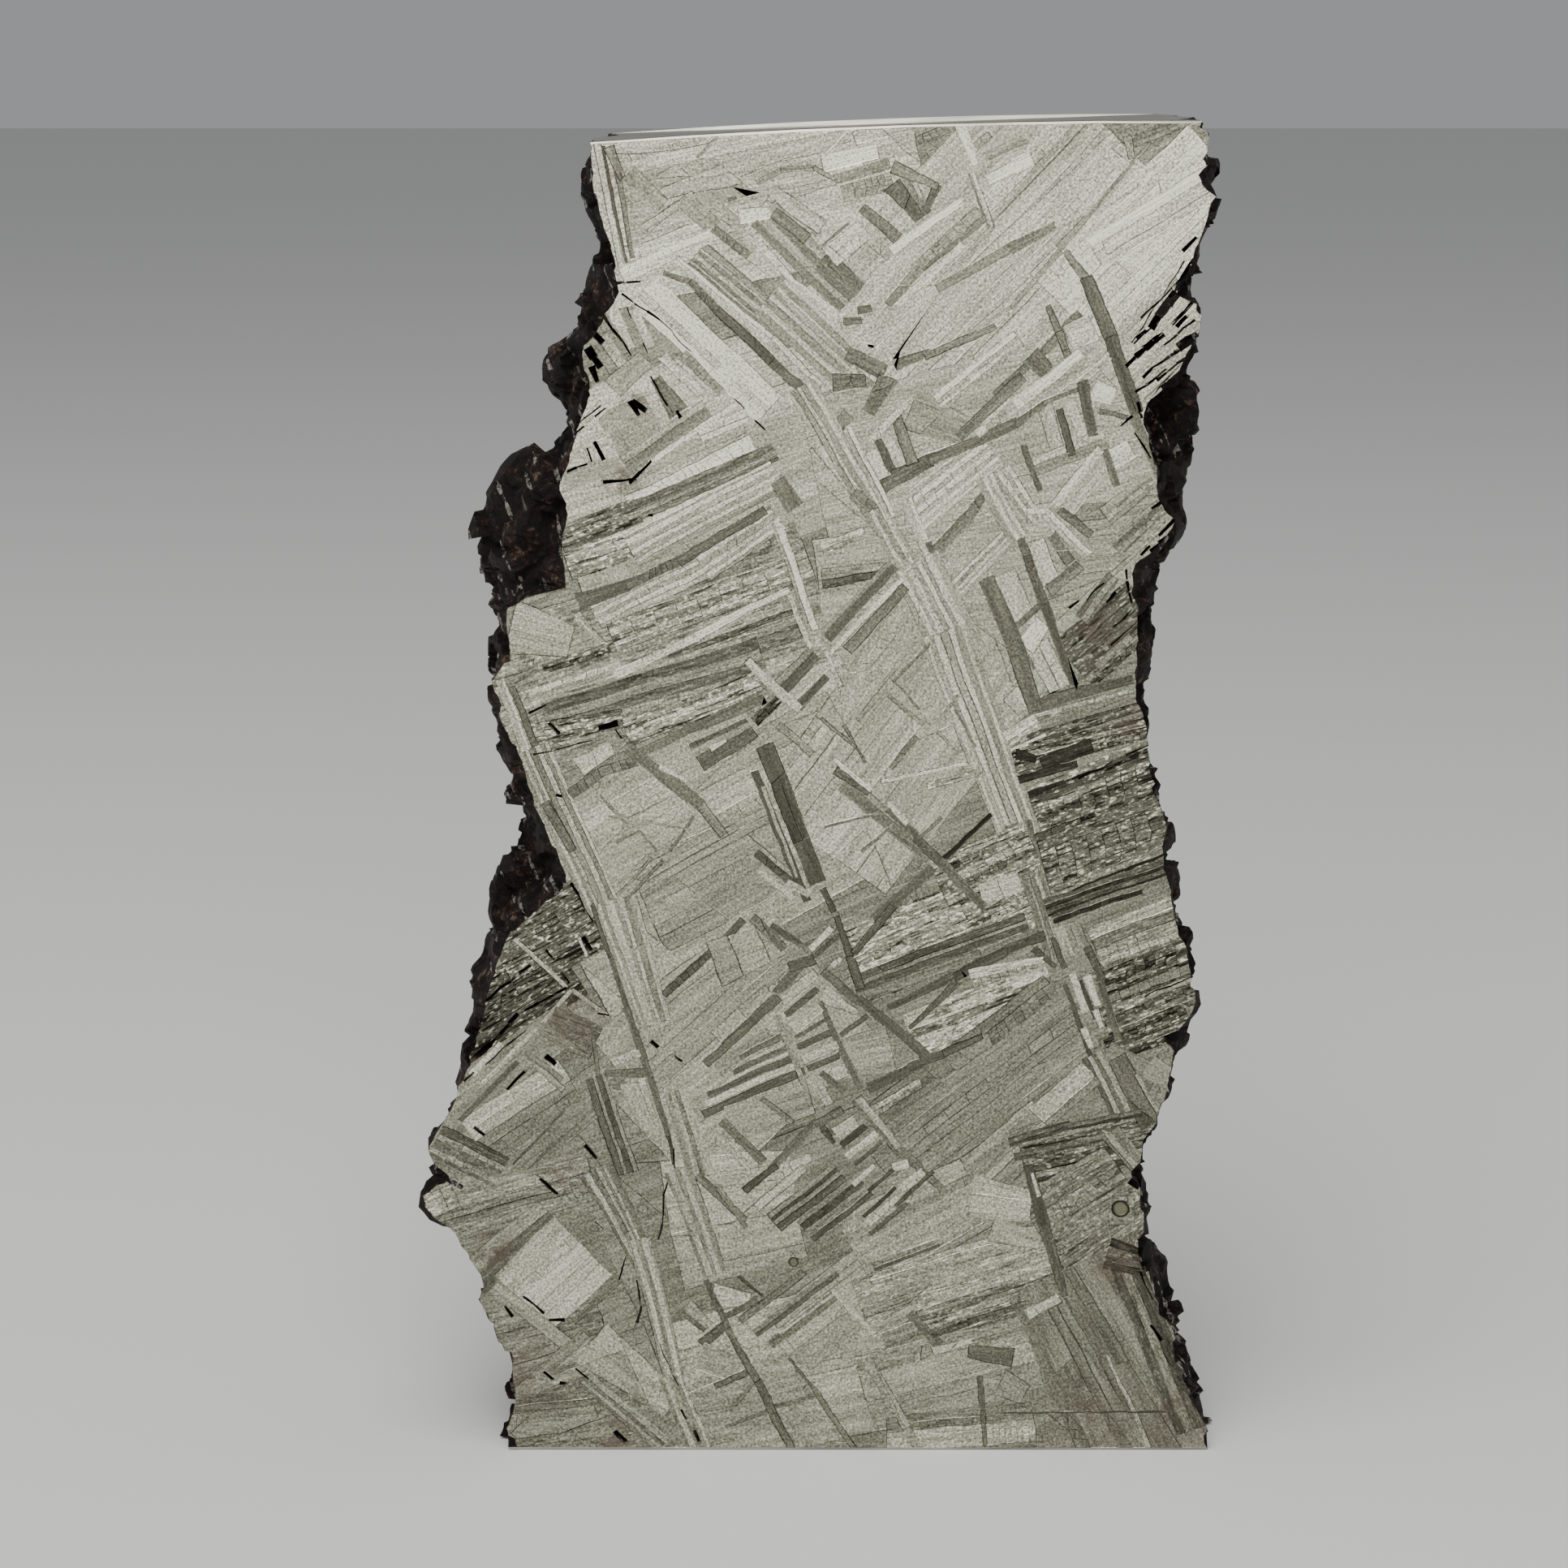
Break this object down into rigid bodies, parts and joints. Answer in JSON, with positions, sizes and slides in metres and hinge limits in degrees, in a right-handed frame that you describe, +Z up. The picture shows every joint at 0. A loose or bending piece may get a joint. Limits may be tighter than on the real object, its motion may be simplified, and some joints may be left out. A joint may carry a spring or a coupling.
{
  "type": "iron meteorite slice",
  "caption": "Thick upright slice of an iron meteorite, flat etched cuts front and back, sawn top and base, rough weathered edges left and right.",
  "frame": {"origin": "middle of the box around the slice, on the plane that it stands on", "axes": "+Z up the slice, +Y from the etched front cut through the thickness to the back cut, +X across to the right as seen from the front"},
  "size_m": [0.035, 0.01, 0.0588],
  "materials": {
    "etched_iron": "etched satin on the cuts, dark weathered crust on the sides"
  },
  "bodies": {
    "root": {"slice": "etched_iron"}
  },
  "joints": []
}
